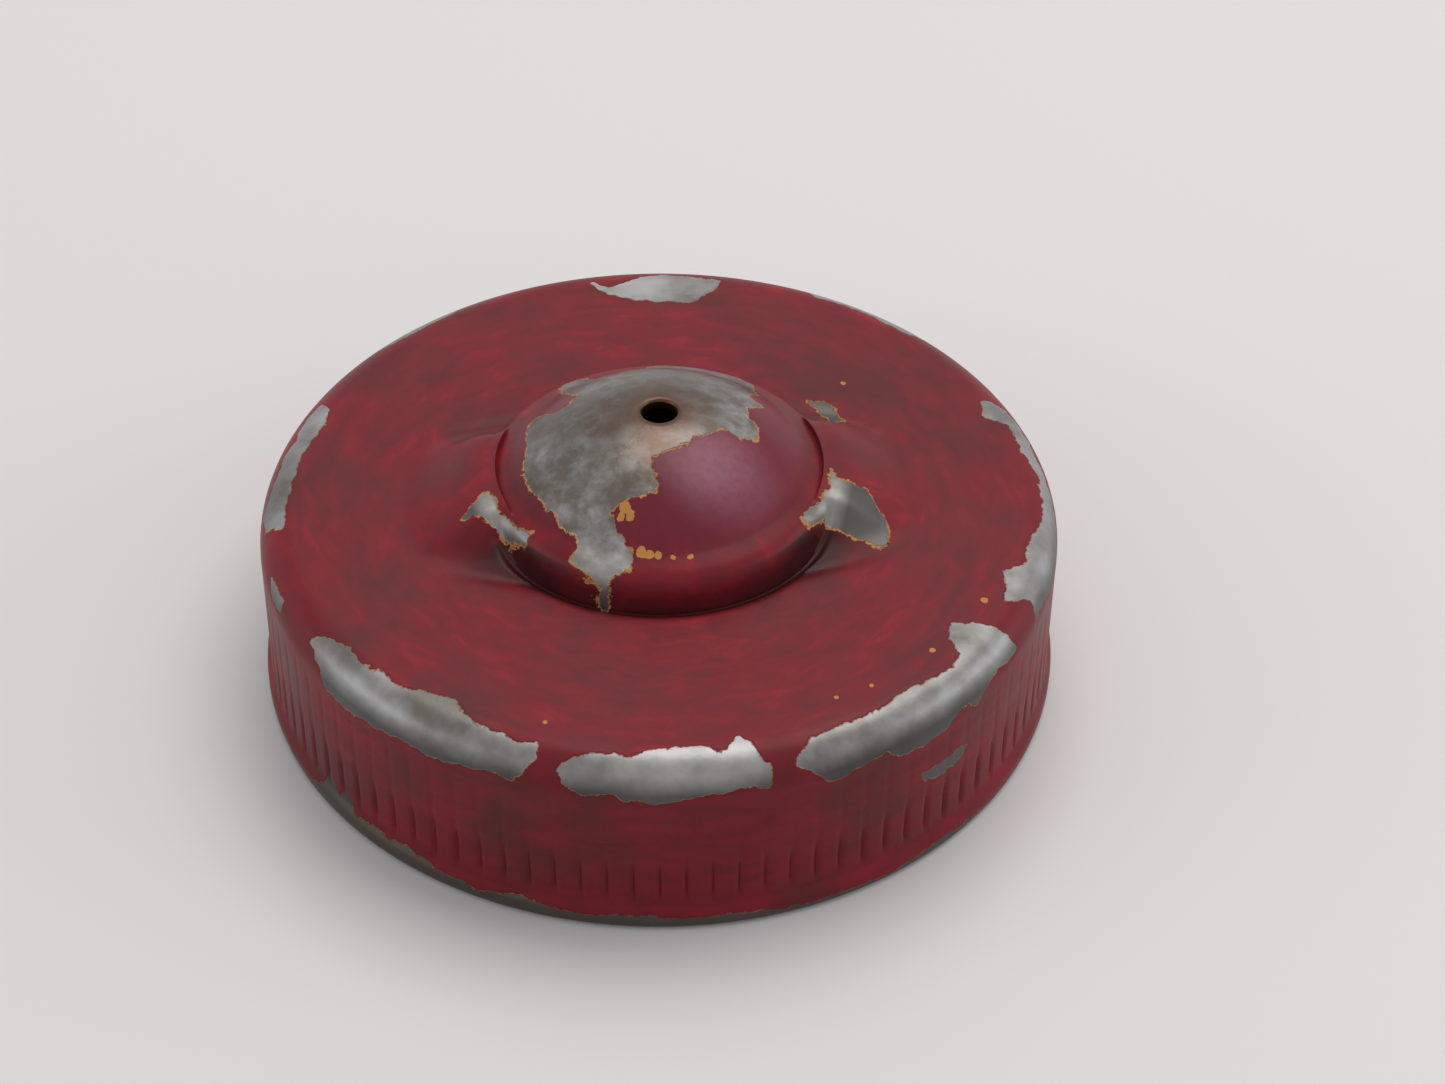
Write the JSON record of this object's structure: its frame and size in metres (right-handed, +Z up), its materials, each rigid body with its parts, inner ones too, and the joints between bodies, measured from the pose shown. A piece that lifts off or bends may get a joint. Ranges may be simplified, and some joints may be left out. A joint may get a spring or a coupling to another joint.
{
  "type": "fuel tank cap",
  "caption": "Round screw-on fuel tank cap with a knurled skirt, a vented dome between two finger wings, an inner threaded cup and a cork sealing ring.",
  "frame": {"origin": "on the cap's axis, in the plane of its bottom edge", "axes": "+Z up along the axis through the vent hole, +X along the finger wings, -Z out of the threaded mouth"},
  "size_m": [0.0648, 0.0648, 0.0246],
  "materials": {
    "painted_shell": "brushed red enamel over orange primer, chipped to grey steel",
    "plated_liner": "dull plated sheet steel, stained",
    "cork": "compressed cork, dark with use"
  },
  "bodies": {
    "root": {"cap_shell": "painted_shell", "threaded_liner": "plated_liner", "gasket": "cork"}
  },
  "joints": []
}
